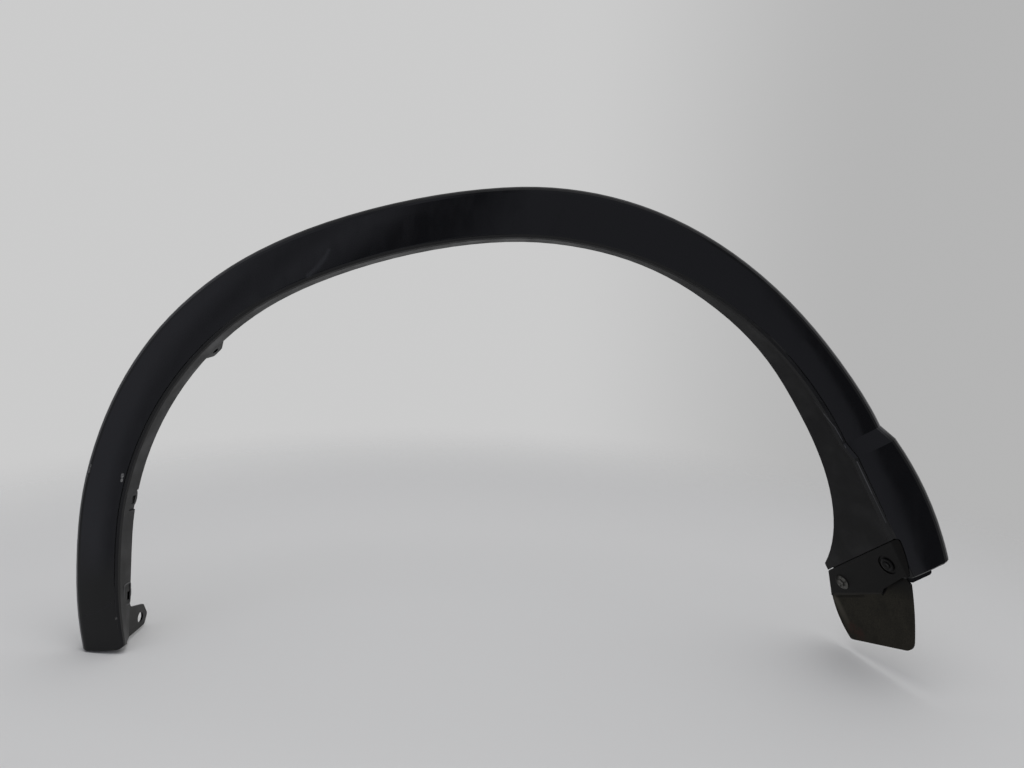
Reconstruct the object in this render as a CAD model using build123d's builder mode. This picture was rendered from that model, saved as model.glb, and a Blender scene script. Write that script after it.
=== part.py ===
from build123d import *
import os
from math import cos, hypot, pi, radians, sin, tan

os.makedirs("parts", exist_ok=True)

# Wheel arch trim of a car with the small mud flap that is fixed to its rear end, in millimetres.
# X runs along the car to the rear, Y inboard and Z up. The origin is the middle of the fixing hole in the
# tab at the front foot, in the plane of the flange there.

# Inner edge of the face, seen square on: from the front foot up, over the wheel and down to the rear end
foot_radius = 400.0
foot_turn = 14.5
leg_length = 24.7
front_shoulder_radius = 345.0
front_shoulder_turn = 64.0
crown_radius = 690.0
crown_turn = 18.8
rear_shoulder_radius = 412.5
rear_shoulder_turn = 68.7
rear_leg_length = 171.0

# Width of the face, measured square to its inner edge
leg_width = 53.6
front_shoulder_width = 57.9
crown_width = 61.0
rear_width = 48.4
rear_flare = 2.2

# Stretches of the arch over which its section changes, from 0 at the end of the foot to 1 at the rear leg
shoulder_widening = (0.15, 0.32)
crown_widening = (0.55, 0.69)
rear_narrowing = (0.69, 0.95)
rear_flaring = (0.93, 1.0)
flange_deepening = (0.86, 1.0)
flange_splaying = (0.756, 0.961)
groove_rise = (0.03, 0.09)
groove_fall = (0.25, 0.42)
groove_return = (0.86, 0.95)
block_groove_fall = (0.3, 0.7)

# Channel section of the moulding
wall = 2.6
edge_radius = 8.0
edge_flats = 4
face_crown = 0.9
bead = 4.2
bead_bulge = 0.42
groove_width = 1.3
groove_depth = 1.1
groove_fade = 0.1
return_depth = 14.0
flange_depth = 30.0
rear_flange_depth = 40.0
rear_splay = 23.0

# Front foot
foot_outer_corner = 11.0
foot_inner_corner = 13.0
foot_rise = 5.0
foot_drop = 1.6
foot_zone = 40.0
flange_foot_gap = 7.0

# Raised block at the rear end, and the tongue under it
block_rise = 7.0
block_start_width = 57.4
block_end_width = 54.2
block_bow = 7.5
block_ramp = 19.0
block_corner = 9.0
block_end_bevel = 1.6
block_rib_places = (0.3, 0.62)
rib_thickness = 1.8
end_tongue_length = 11.5
end_tongue_width = 28.0
end_tongue_set = 6.0
end_tongue_depth = 12.0

# Fixing tab at the front foot, measured from its hole
tab_hole_radius = 6.65
tab_hole_depth = 58.0
tab_hole_height = 22.0
tab_reach = 17.4
tab_top_reach = 7.0
tab_top = 14.5
tab_foot_reach = 10.5
tab_foot = 12.0
tab_root = 19.5
tab_round = 4.0
tab_root_round = 9.0

# Clip seats in the flange of the leg, placed along the inner edge from the end of the foot
lower_seat_along = 60.5
upper_seat_along = 175.5
seat_length = 24.0
seat_reach = 15.0
seat_sink = 1.2
seat_slot_length = 10.0
seat_slot_width = 6.5
seat_slot_depth = 25.0
seat_round = 3.0

# Upper tab on the back edge of the flange
upper_tab_place = 0.3095
upper_tab_base = 31.0
upper_tab_tip = 13.0
upper_tab_reach = 19.0
upper_tab_set = 4.5
upper_hole_radius = 4.2
upper_hole_depth = 37.0
upper_hole_set = 2.2

# Clip towers behind the face
tower_places = (0.1, 0.28, 0.46, 0.64, 0.82)
tower_length = 24.0
tower_width = 20.0
tower_height = 17.0
tower_wall = 2.0
tower_hole_radius = 4.0
tower_neck = 5.0

# Mud flap, placed from the end of the block along the rear leg and across its flange from the crease
flap_thickness = 3.0
flap_gap = 1.2
flap_height = 46.4
flap_top_slope = 20.7
flap_reach = 124.0
flap_wrap = 10.0
flap_wrap_bow = 1.4
flap_round = 5.0
flap_heel = 3.5
relief_drop = 17.0
relief_reach = 41.0
fold_outer_drop = 24.6
fold_outer_reach = 47.8
fold_inner_drop = 37.5
fold_inner_reach = 140.0
fold_bend = 17.0
fold_step = 1.0
blade_drop = 67.0
blade_inner_drop = 56.0
blade_inner_set = 12.0
blade_foot_width = 113.0
blade_top_width = 141.0
blade_outer_bow = 2.5
blade_inner_bow = 2.4
blade_inner_bow_drop = 32.0
blade_lap = 4.0
ear_drop = 9.0
ear_end = 16.5
ear_end_set = 3.0
ear_crest = 20.0
ear_crest_set = 16.0
ear_root = 11.0
blade_corner = 15.0
blade_inner_corner = 6.0

# Toe of the rear flange and the tray that takes the panel of the flap
toe_lead = 2.6
toe_end = 9.5
toe_round = 3.0
tray_reach = 114.0
tray_lift = 9.0

# Flanged screw of the flap
screw_drop = 15.0
screw_across = 108.2
screw_flange_radius = 9.8
screw_flange_height = 1.8
screw_hex = 10.0
screw_head_height = 4.0
screw_chamfer = 0.8
screw_radius = 2.9
screw_length = 16.0

# Push rivet of the flap
rivet_height = 16.8
rivet_across = 17.9
rivet_sink_radius = 12.0
rivet_sink = 1.4
rivet_head_radius = 8.5
rivet_head_height = 2.2
rivet_pin_radius = 4.2
rivet_pin_height = 0.7
rivet_radius = 3.6
rivet_length = 15.0
fastener_clearance = 0.4

# Planes of the face, seen from outside the car, and of the tab, seen from the wheel
face_plane = Plane(origin=(0, -tab_hole_depth, -tab_hole_height), x_dir=(1, 0, 0), z_dir=(0, -1, 0))
tab_plane = Plane(origin=(0, 0, 0), x_dir=(0, 1, 0), z_dir=(1, 0, 0))

# The skin is drawn a little past the foot, which is cut to its outline afterwards
foot_run_out = 26.0
foot_lean = radians(foot_turn)
foot_x = foot_radius * (1 - cos(foot_lean))
with BuildLine() as inner_edge:
    run_out = Line(
        (foot_x + foot_run_out * sin(foot_lean), -foot_run_out * cos(foot_lean)),
        (foot_x, 0),
    )
    foot_arc = JernArc(run_out @ 1, run_out % 1, foot_radius, -foot_turn)
    leg = PolarLine(foot_arc @ 1, leg_length, direction=foot_arc % 1)
    front_shoulder = JernArc(leg @ 1, leg % 1, front_shoulder_radius, -front_shoulder_turn)
    crown = JernArc(front_shoulder @ 1, front_shoulder % 1, crown_radius, -crown_turn)
    rear_shoulder = JernArc(crown @ 1, crown % 1, rear_shoulder_radius, -rear_shoulder_turn)
    rear_leg = PolarLine(rear_shoulder @ 1, rear_leg_length, direction=rear_shoulder % 1)
path = inner_edge.wire()
arch_length = path.length - rear_leg_length - foot_run_out


def share(place, begin, end):
    """Part of the way from begin to end that a place has come, from 0 to 1."""
    return min(max((place - begin) / (end - begin), 0), 1)


def eased(place, begin, end):
    """The same part of the way, starting and stopping smoothly."""
    return (1 - cos(pi * share(place, begin, end))) / 2


def spot_at(along):
    """Point of the inner edge at a distance along it, and the way the edge runs there."""
    spot = path.position_at(along, position_mode=PositionMode.LENGTH)
    return spot, path.tangent_at(along, position_mode=PositionMode.LENGTH)


def place_of(along):
    """Place on the arch, 0 at the end of the foot and 1 where the rear leg begins."""
    return (along - foot_run_out) / arch_length


def along_of(place):
    """Distance along the inner edge of a place on the arch."""
    return foot_run_out + place * arch_length


def station(along):
    """Plane square to the inner edge, with X out across the face and Y out of the car."""
    spot, way = spot_at(along)
    return Plane(
        origin=face_plane.from_local_coords(spot),
        x_dir=face_plane.x_dir * -way.Y + face_plane.y_dir * way.X,
        z_dir=face_plane.x_dir * way.X + face_plane.y_dir * way.Y,
    )


def flange_at(along):
    """Plane of the flange at one place, with X inboard from the face, Y up the edge and Z to the wheel."""
    root = station(along)
    return Plane(origin=root.origin, x_dir=root.y_dir * -1, z_dir=root.x_dir * -1)


def width_at(place):
    """Width of the face: even on the leg, widest over the crown and narrow before the rear leg."""
    width = leg_width
    width += (front_shoulder_width - leg_width) * eased(place, *shoulder_widening)
    width += (crown_width - front_shoulder_width) * eased(place, *crown_widening)
    width += (rear_width - crown_width) * eased(place, *rear_narrowing)
    return width + rear_flare * eased(place, *rear_flaring)


def depth_at(place):
    """Depth of the flange, which grows towards the rear leg."""
    return flange_depth + (rear_flange_depth - flange_depth) * share(place, *flange_deepening)


def lean_at(along):
    """Lean of the flange. At the foot its back edge runs straight on while the face flares away from it."""
    if along < foot_run_out + foot_arc.length:
        return -spot_at(along)[0].X / flange_depth
    return tan(radians(rear_splay * share(place_of(along), *flange_splaying)))


def channel(plane, width, rise, depth, lean, groove):
    """Closed section of the moulding: crowned face, edge rounded in flats, return, flange, bead and groove."""
    slant = hypot(1, lean)
    corner = rise * lean
    face_end = (width - edge_radius, rise - face_crown / 2)
    face_start = (corner + bead + groove_width, rise)
    face_middle = ((face_end[0] + face_start[0]) / 2, rise + face_crown)
    edge_end = (width, rise - edge_radius - face_crown / 2)
    bead_start = (corner + bead, rise)
    bead_end = (corner - bead * lean / slant, rise - bead / slant)
    bead_peak = (
        bead_bulge * corner + (1 - bead_bulge) * (bead_start[0] + bead_end[0]) / 2,
        bead_bulge * rise + (1 - bead_bulge) * (bead_start[1] + bead_end[1]) / 2,
    )
    flange_end = (-depth * lean, -depth)
    with BuildSketch(plane) as section:
        with BuildLine():
            face = ThreePointArc(face_start, face_middle, face_end)
            edge = TangentArc(face_end, edge_end, tangent=face % 1, mode=Mode.PRIVATE)
            Polyline(
                *[edge @ (step / edge_flats) for step in range(edge_flats)],
                edge_end,
                (width, -return_depth),
                (width - wall, -return_depth),
                (width - wall, edge_end[1]),
                (face_end[0], rise - wall - face_crown / 2),
                ((rise - wall) * lean + wall * slant, rise - wall),
                (flange_end[0] + wall / slant, flange_end[1] - wall * lean / slant),
                flange_end,
                bead_end,
                bead_peak,
                bead_start,
                (corner + bead + groove_width / 2, rise - groove),
                face_start,
            )
        make_face()
    return section.sketch


def room_under(plane, start, width, rise):
    """Section of the room under the face from a start across it, up to the middle of the skin."""
    ceiling = rise - (face_crown + wall) / 2
    side = width - wall / 2
    with BuildSketch(plane) as room:
        with BuildLine():
            Polyline(
                (start, -return_depth),
                (start, ceiling),
                (width - edge_radius, ceiling),
                (side, rise - edge_radius - face_crown / 2),
                (side, -return_depth),
                close=True,
            )
        make_face()
    return room.sketch


def arch_section(along, width):
    """Section of the arch at one place along the inner edge. The groove fades out at the foot and crown."""
    place = place_of(along)
    cut = eased(place, *groove_rise) - eased(place, *groove_fall) + eased(place, *groove_return)
    groove = groove_fade + (groove_depth - groove_fade) * cut
    return channel(station(along), width, 0, depth_at(place), lean_at(along), groove)


# The rear leg is straight. Its flange lies in one plane, with X down the leg, Y across to the back edge and
# Z to the hidden side. The plan of the block has X down the leg too, with Y out across its face.
rear_section = station(foot_run_out + arch_length)
splay = radians(rear_splay)
rear_lean = tan(splay)
rear_edge = rear_flange_depth / cos(splay)
flange_plane = Plane(
    origin=rear_section.origin,
    x_dir=rear_section.z_dir,
    z_dir=rear_section.x_dir * cos(splay) - rear_section.y_dir * sin(splay),
)
block_plan = Plane(origin=rear_section.origin, x_dir=rear_section.z_dir, z_dir=rear_section.y_dir)
block_length = rear_leg_length - block_ramp


def block_width(part_way):
    """Width of the block, whose outer edge is bowed."""
    straight = block_start_width + (block_end_width - block_start_width) * part_way
    return straight + block_bow * 4 * part_way * (1 - part_way)


def block_section(part_way, rise):
    """Section of the raised block. The groove fades out before it reaches the flap."""
    groove = groove_fade + (groove_depth - groove_fade) * (1 - eased(part_way, *block_groove_fall))
    plane = rear_section.offset(block_ramp + block_length * part_way)
    return channel(plane, block_width(part_way), rise, rear_flange_depth, rear_lean, groove)


def block_web(along, width, foot):
    """Web that fills the channel of the block from its flange to its outer side, down to one depth."""
    with BuildSketch(rear_section.offset(along)) as web:
        with BuildLine():
            Polyline(
                (-foot * rear_lean + wall / 2, -foot),
                ((block_rise - wall) * rear_lean + wall, block_rise - wall / 2),
                (width, block_rise - wall / 2),
                (width, -foot),
                close=True,
            )
        make_face()
    return web.sketch


# Edges of the flap's panel, as lengths down the rear leg
flap_top = rear_leg_length - flap_height
flap_foot = rear_leg_length - flap_heel
relief_along = rear_leg_length + relief_drop
fold_outer = rear_leg_length + fold_outer_drop
fold_inner = rear_leg_length + fold_inner_drop
flap_fall = tan(radians(flap_top_slope))
bead_radius = bead * tan(radians(45) + splay / 2)
panel_overrun = 40.0
clear = 200.0


def corner_section(near, far):
    """Section of a plate that follows the corner of the block, between two depths under its skin."""
    slant = hypot(1, rear_lean)
    deep = fold_inner_reach + flap_wrap
    knee = ((block_rise - near) * rear_lean + near * slant, block_rise - near)
    face_reach = knee[0] + 2 * flap_wrap
    with BuildSketch(rear_section.offset(flap_top - panel_overrun)) as section:
        with BuildLine():
            Polyline(
                (-deep * rear_lean + near * slant, -deep),
                knee,
                (face_reach, block_rise - near),
                (face_reach, block_rise - far),
                ((block_rise - far) * rear_lean + far * slant, block_rise - far),
                (-deep * rear_lean + far * slant, -deep),
                close=True,
            )
        make_face()
        if near < bead_radius:
            fillet(section.vertices().sort_by_distance(Vertex(*knee, 0))[0], bead_radius - near)
    return section.sketch


def panel_outline(margin, lift, reach):
    """Outline of the panel on the rear flange, grown at its top edge and cut short at its foot."""
    top = flap_top - margin / cos(radians(flap_top_slope))
    with BuildSketch(flange_plane.offset(-flap_wrap)) as outline:
        with BuildLine():
            Polyline(
                (flap_foot - lift, -panel_overrun),
                (flap_foot - lift, 0),
                (relief_along - lift, relief_reach),
                (fold_outer - lift, fold_outer_reach),
                (fold_inner - lift, reach + fold_inner_reach - flap_reach),
                (top + reach * flap_fall, reach),
                (top - panel_overrun * flap_fall, -panel_overrun),
                close=True,
            )
        make_face()
    return outline.sketch


def wrap_outline(margin):
    """Outer edge of the panel seen square on, where it is turned round the corner of the block."""
    hinge = block_rise * rear_lean
    crest = flap_top - margin - (block_rise + margin) * flap_fall
    edge = flap_wrap + margin
    heel = hinge + margin
    with BuildSketch(block_plan.offset(-clear)) as outline:
        with BuildLine():
            Polyline(
                (flap_foot, heel),
                (flap_foot + clear, heel),
                (flap_foot + clear, -clear),
                (crest - clear, -clear),
                (crest - clear, hinge),
                (crest, hinge),
                (crest, edge),
            )
            ThreePointArc((crest, edge), ((crest + flap_foot) / 2, edge - flap_wrap_bow), (flap_foot, heel))
        make_face()
        fillet(outline.vertices().sort_by_distance(Vertex(crest, edge, 0))[0], flap_round + margin)
    return outline.sketch


def panel_plate(near, far, margin, lift, reach):
    """Plate between two depths under the skin of the rear leg, cut to the outline of the panel."""
    with BuildPart() as plate:
        extrude(corner_section(near, far), amount=clear)
        extrude(panel_outline(margin, lift, reach), amount=clear, mode=Mode.INTERSECT)
        extrude(wrap_outline(margin), amount=clear + 2 * block_rise, mode=Mode.INTERSECT)
    return plate.part


# The panel, the pocket it lies in and the tray behind that pocket share one outline
panel = panel_plate(0, flap_thickness, 0, 0, flap_reach)
pocket = panel_plate(-wall, flap_thickness, flap_gap, -flap_height, 2 * flap_reach)
tray = panel_plate(wall / 2, flap_thickness + wall, flap_gap + wall, tray_lift, tray_reach)
screw_spot = (rear_leg_length + screw_drop, screw_across)
rivet_spot = (rear_leg_length - rivet_height, rivet_across)
fastener_holes = (
    (screw_spot, screw_radius + fastener_clearance),
    (rivet_spot, rivet_radius + fastener_clearance),
)

# Outline of the foot in the plane of the face, with its two rounded corners
foot_spot, foot_way = spot_at(foot_run_out + leg_width * tan(foot_lean))
foot_slope = foot_way.X / foot_way.Y
foot_outer_x = foot_spot.X - foot_way.Y * leg_width - (foot_spot.Y + foot_way.X * leg_width) * foot_slope
foot_outer = (foot_outer_x, -foot_drop)
foot_inner = (foot_x, foot_rise - foot_drop)
with BuildSketch(face_plane) as foot_outline:
    with BuildLine():
        Polyline(
            foot_outer,
            (foot_outer_x + foot_slope * foot_zone, foot_zone),
            (foot_x + foot_slope * foot_zone / 2, foot_zone),
            foot_inner,
            close=True,
        )
    make_face()
    fillet(foot_outline.vertices().sort_by_distance(Vertex(*foot_outer, 0))[0], foot_outer_corner)
    fillet(foot_outline.vertices().sort_by_distance(Vertex(*foot_inner, 0))[0], foot_inner_corner)

# Outline of the end of the block
end_zone = 40.0
end_slope = (block_end_width - block_start_width - 4 * block_bow) / block_length
with BuildSketch(block_plan) as block_outline:
    with BuildLine():
        Polyline(
            (rear_leg_length, block_end_width),
            (rear_leg_length, -end_zone),
            (rear_leg_length - end_zone, -end_zone),
            (rear_leg_length - end_zone, block_end_width - end_zone * end_slope),
            close=True,
        )
    make_face()
    end_vertex = Vertex(rear_leg_length, block_end_width, 0)
    fillet(block_outline.vertices().sort_by_distance(end_vertex)[0], block_corner)

# Walls that close the foot and the outer corner of the block under the skin
with BuildPart() as foot_end:
    with BuildSketch(face_plane.offset(-return_depth)) as foot_wall:
        add(foot_outline.sketch_local)
        offset(amount=-wall, mode=Mode.SUBTRACT)
        with Locations((foot_x - foot_inner_corner, 2 * foot_outer_corner)):
            Rectangle(2 * leg_width, foot_zone, align=(Align.MAX, Align.MAX), mode=Mode.INTERSECT)
    extrude(amount=return_depth)
    room_ends = (0, foot_run_out, foot_run_out + foot_zone)
    loft([room_under(station(along), wall, leg_width, 0) for along in room_ends], mode=Mode.INTERSECT)
with BuildPart() as block_end:
    with BuildSketch(block_plan.offset(-return_depth)) as block_corner_wall:
        add(block_outline.sketch_local)
        offset(amount=-wall, mode=Mode.SUBTRACT)
        with Locations((rear_leg_length, block_end_width)):
            Rectangle(3 * block_corner, 3 * block_corner, mode=Mode.INTERSECT)
    extrude(amount=return_depth + block_rise)
    loft(
        [
            room_under(
                rear_section.offset(block_ramp + block_length * part_way),
                block_end_width / 3,
                block_width(part_way),
                block_rise,
            )
            for part_way in (0.75, 1)
        ],
        mode=Mode.INTERSECT,
    )

with BuildPart() as arch_trim:
    # The arch itself, one smooth skin from the foot to the rear leg
    along = foot_run_out
    sections = [arch_section(0, leg_width), arch_section(along, leg_width)]
    for piece, steps in ((foot_arc, 3), (leg, 1), (front_shoulder, 8), (crown, 3), (rear_shoulder, 9)):
        for step in range(steps):
            along += piece.length / steps
            sections.append(arch_section(along, width_at(place_of(along))))
    loft(sections)

    # The step up to the raised block, the block and the bevel at its end
    bevel_start = 1 - block_end_bevel / block_length
    block_sections = [block_section(part_way, block_rise) for part_way in (0, 0.25, 0.5, 0.75, bevel_start)]
    loft([sections[-1], block_sections[0]], ruled=True)
    loft(block_sections)
    loft([block_sections[-1], block_section(1, block_rise - block_end_bevel)], ruled=True)

    # Rounded end of the foot, closed by a wall
    with BuildSketch(face_plane.offset(-2 * flange_depth)) as foot_waste:
        with Locations((foot_x - leg_width / 2, foot_zone)):
            Rectangle(3 * leg_width, 3 * foot_zone, align=(Align.CENTER, Align.MAX))
        add(foot_outline.sketch_local, mode=Mode.SUBTRACT)
    extrude(amount=3 * flange_depth, mode=Mode.SUBTRACT)
    add(foot_end.part)

    # Rounded end of the block, closed by a wall, and the ribs inside it
    with BuildSketch(block_plan.offset(-2 * rear_flange_depth)) as block_waste:
        with Locations((rear_leg_length, block_end_width / 2)):
            Rectangle(2 * end_zone, block_end_width + end_zone)
        add(block_outline.sketch_local, mode=Mode.SUBTRACT)
    extrude(amount=3 * rear_flange_depth, mode=Mode.SUBTRACT)
    add(block_end.part)
    extrude(block_web(rear_leg_length - wall, block_end_width - block_corner, return_depth), amount=wall)
    for part_way in block_rib_places:
        rib_along = block_ramp + block_length * part_way
        rib_width = block_width(part_way) - wall / 2
        extrude(block_web(rib_along, rib_width - edge_radius, return_depth / 2), amount=rib_thickness)

    # Tongue under the block, that lies behind the next trim
    with BuildSketch(block_plan.offset(-end_tongue_depth)) as end_tongue:
        with Locations((rear_leg_length, end_tongue_set + end_tongue_width / 2)):
            RectangleRounded(2 * end_tongue_length, end_tongue_width, tab_round)
        with Locations((rear_leg_length - 2 * wall, 0)):
            Rectangle(clear, clear, align=(Align.MAX, Align.CENTER), mode=Mode.SUBTRACT)
    extrude(amount=wall)

    # The flange ends short of the foot, where the fixing tab stands on its back edge
    back_edge = flange_depth - tab_hole_depth
    low_edge = flange_foot_gap - tab_hole_height
    with BuildSketch(tab_plane.offset(foot_x + foot_run_out)) as flange_waste:
        with Locations((return_depth + wall / 2 - tab_hole_depth, low_edge)):
            Rectangle(flange_depth, foot_zone, align=(Align.MIN, Align.MAX))
    extrude(amount=-foot_x - foot_run_out - 2 * wall, mode=Mode.SUBTRACT)
    with BuildSketch(tab_plane) as front_tab:
        with BuildLine():
            root_start = (back_edge, tab_root + tab_root_round)
            root_end = (back_edge + tab_root_round, tab_root)
            TangentArc(root_start, root_end, tangent=(0, -1))
            Polyline(
                root_end,
                (tab_top_reach, tab_top),
                (tab_reach, 0),
                (tab_foot_reach, -tab_foot),
                (back_edge, low_edge),
                (back_edge - flange_depth / 3, low_edge),
                (back_edge - flange_depth / 3, tab_root + tab_root_round),
                root_start,
            )
        make_face()
        fillet(front_tab.vertices().sort_by(Axis.X)[-3:], tab_round)
        Circle(tab_hole_radius, mode=Mode.SUBTRACT)
    extrude(amount=-wall)

    # Clip seats pressed into the flange of the leg, each with a slot through it
    for seat_along in (lower_seat_along, upper_seat_along):
        seat_plane = flange_at(foot_run_out + seat_along).offset(2 * wall)
        with BuildSketch(seat_plane) as seat:
            with Locations((flange_depth - seat_reach, 0)):
                RectangleRounded(2 * seat_reach, seat_length, seat_round, align=(Align.MIN, Align.CENTER))
        extrude(amount=-2 * wall - seat_sink, mode=Mode.SUBTRACT)
        with BuildSketch(seat_plane) as seat_slot:
            with Locations((seat_slot_depth, 0)):
                Rectangle(seat_slot_width, seat_slot_length)
        extrude(amount=-4 * wall, mode=Mode.SUBTRACT)

    # Upper tab, standing on the back edge of the flange
    with BuildSketch(flange_at(along_of(upper_tab_place))) as upper_tab:
        with BuildLine():
            Polyline(
                (flange_depth - 2 * wall, -upper_tab_base / 2),
                (flange_depth, -upper_tab_base / 2),
                (flange_depth + upper_tab_reach, -upper_tab_set - upper_tab_tip / 2),
                (flange_depth + upper_tab_reach, -upper_tab_set + upper_tab_tip / 2),
                (flange_depth, upper_tab_base / 2),
                (flange_depth - 2 * wall, upper_tab_base / 2),
                close=True,
            )
        make_face()
        fillet(upper_tab.vertices().sort_by(Axis.X)[-2:], tab_round)
        with Locations((upper_hole_depth, -upper_hole_set)):
            Circle(upper_hole_radius, mode=Mode.SUBTRACT)
    extrude(amount=-wall)

    # Clip towers behind the face, open to the outer side and slotted for the head of a clip
    for place in tower_places:
        root = station(along_of(place))
        tower_plane = Plane(
            origin=root.from_local_coords((width_at(place) / 2, -wall / 2, 0)),
            x_dir=root.x_dir,
            z_dir=root.y_dir * -1,
        )
        with BuildSketch(tower_plane) as tower:
            Rectangle(tower_width, tower_length)
        extrude(amount=tower_height - wall / 2)
        with BuildSketch(tower_plane.offset(wall)) as tower_room:
            with Locations((tower_wall, 0)):
                Rectangle(tower_width, tower_length - 2 * tower_wall)
        extrude(amount=tower_height - 1.5 * wall - tower_wall, mode=Mode.SUBTRACT)
        with BuildSketch(tower_plane.offset(wall)) as tower_key:
            Circle(tower_hole_radius)
            with Locations((tower_width / 2, 0)):
                Rectangle(tower_width, tower_neck)
        extrude(amount=tower_height, mode=Mode.SUBTRACT)

    # Toe of the rear flange, swept back to meet the flap
    toe_line = flap_top - flap_gap / cos(radians(flap_top_slope))
    toe_foot = (toe_line + flap_reach * flap_fall, flap_reach)
    toe_tip = (toe_foot[0] - toe_end, flap_reach)
    with BuildSketch(flange_plane) as toe:
        with BuildLine():
            TangentArc((0, rear_edge), toe_tip, tangent=(1, tan(radians(toe_lead))))
            Polyline(
                toe_tip,
                toe_foot,
                (toe_line + rear_edge / 2 * flap_fall, rear_edge / 2),
                (0, rear_edge / 2),
                (0, rear_edge),
            )
        make_face()
        fillet(toe.vertices().sort_by_distance(Vertex(*toe_tip, 0))[0], toe_round)
    extrude(amount=wall)

    # Tray behind the flange, that takes the panel of the flap flush with the skin
    add(tray)
    add(pocket, mode=Mode.SUBTRACT)
    for spot, radius in fastener_holes:
        with BuildSketch(flange_plane) as tray_hole:
            with Locations(spot):
                Circle(radius)
        extrude(amount=flap_thickness + 2 * wall, mode=Mode.SUBTRACT)

# Mud flap: the panel that lies in the tray, and a blade bent down from it with a small step. The ear of the
# blade closes the relief beside the fold from behind.
fold_start = flange_plane.from_local_coords(Vector(fold_inner, fold_inner_reach, 0))
fold_end = flange_plane.from_local_coords(Vector(fold_outer, fold_outer_reach, 0))
fold_length = (fold_end - fold_start).length
fold_way = (fold_end - fold_start).normalized()
bend = radians(fold_bend)
blade_up = fold_way.cross(flange_plane.z_dir) * cos(bend) + flange_plane.z_dir * sin(bend)
blade_plane = Plane(origin=fold_start, x_dir=fold_way, z_dir=fold_way.cross(blade_up))
with BuildPart() as mud_flap:
    add(panel)
    with BuildSketch(blade_plane.offset(-fold_step)) as blade:
        blade_heel = (blade_inner_set, -blade_inner_drop)
        blade_toe = (blade_foot_width, -blade_drop)
        blade_bow = (
            (blade_foot_width + blade_top_width) / 2 + blade_outer_bow,
            (ear_drop - blade_drop) / 2,
        )
        with BuildLine():
            Line(blade_heel, blade_toe)
            ThreePointArc(blade_toe, blade_bow, (blade_top_width, ear_drop))
            Polyline(
                (blade_top_width, ear_drop),
                (blade_top_width - ear_end_set, ear_end),
                (blade_top_width - ear_crest_set, ear_crest),
                (fold_length + blade_lap, ear_root),
                (fold_length - blade_lap, blade_lap),
                (0, blade_lap),
                (0, 0),
            )
            ThreePointArc((0, 0), (blade_inner_bow, -blade_inner_bow_drop), blade_heel)
        make_face()
        fillet(blade.vertices().sort_by_distance(Vertex(*blade_toe, 0))[0], blade_corner)
        fillet(blade.vertices().sort_by_distance(Vertex(*blade_heel, 0))[0], blade_inner_corner)
    extrude(amount=-flap_thickness)
    with BuildSketch(flange_plane) as rivet_seat:
        with Locations(rivet_spot):
            Circle(rivet_sink_radius)
    extrude(amount=rivet_sink, mode=Mode.SUBTRACT)
    for spot, radius in fastener_holes:
        with BuildSketch(flange_plane) as flap_hole:
            with Locations(spot):
                Circle(radius)
        extrude(amount=2 * flap_thickness, mode=Mode.SUBTRACT)

# Flanged hexagon screw at the inboard end of the panel
with BuildPart() as flap_screw:
    with BuildSketch(flange_plane) as screw_flange:
        with Locations(screw_spot):
            Circle(screw_flange_radius)
    extrude(amount=-screw_flange_height)
    with BuildSketch(flange_plane) as screw_head:
        with Locations(screw_spot):
            RegularPolygon(screw_hex / 2, 6, major_radius=False)
    extrude(amount=-screw_head_height)
    head_top = flap_screw.faces().sort_by(Axis(flange_plane.origin, flange_plane.z_dir))[0]
    chamfer(head_top.edges(), screw_chamfer)
    with BuildSketch(flange_plane) as screw_shank:
        with Locations(screw_spot):
            Circle(screw_radius)
    extrude(amount=screw_length)

# Push rivet in its recess at the outer end
rivet_plane = flange_plane.offset(rivet_sink)
with BuildPart() as flap_rivet:
    with BuildSketch(rivet_plane) as rivet_head:
        with Locations(rivet_spot):
            Circle(rivet_head_radius)
    extrude(amount=-rivet_head_height)
    with BuildSketch(rivet_plane) as rivet_pin:
        with Locations(rivet_spot):
            Circle(rivet_pin_radius)
    extrude(amount=-rivet_head_height - rivet_pin_height)
    with BuildSketch(rivet_plane) as rivet_shank:
        with Locations(rivet_spot):
            Circle(rivet_radius)
    extrude(amount=rivet_length)

arch_trim.part.label = "arch_trim"
mud_flap.part.label = "mud_flap"
flap_screw.part.label = "flap_screw"
flap_rivet.part.label = "flap_rivet"
export_step(arch_trim.part, "parts/arch_trim.step")
export_step(mud_flap.part, "parts/mud_flap.step")
export_step(flap_screw.part, "parts/flap_screw.step")
export_step(flap_rivet.part, "parts/flap_rivet.step")
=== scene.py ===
import logging
from dataclasses import dataclass, field
from enum import Enum

import bpy
import numpy as np
from mathutils import Matrix

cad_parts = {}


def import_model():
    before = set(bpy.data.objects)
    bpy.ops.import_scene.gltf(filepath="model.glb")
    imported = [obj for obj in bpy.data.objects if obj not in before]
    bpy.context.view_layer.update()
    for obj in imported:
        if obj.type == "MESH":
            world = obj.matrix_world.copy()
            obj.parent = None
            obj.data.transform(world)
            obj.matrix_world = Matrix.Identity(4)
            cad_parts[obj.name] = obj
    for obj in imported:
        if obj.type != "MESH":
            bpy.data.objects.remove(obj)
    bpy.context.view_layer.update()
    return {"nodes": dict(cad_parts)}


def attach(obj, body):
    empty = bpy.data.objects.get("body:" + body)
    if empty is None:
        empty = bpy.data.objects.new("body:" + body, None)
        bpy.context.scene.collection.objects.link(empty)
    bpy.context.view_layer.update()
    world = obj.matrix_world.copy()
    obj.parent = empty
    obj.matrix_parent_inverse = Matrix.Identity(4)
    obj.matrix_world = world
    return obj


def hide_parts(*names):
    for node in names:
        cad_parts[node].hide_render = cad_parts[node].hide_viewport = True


LOG = logging.getLogger("wheel_arch_trim")

Point = tuple[float, float, float]
Colour = tuple[float, float, float]
Socket = bpy.types.NodeSocket

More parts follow.
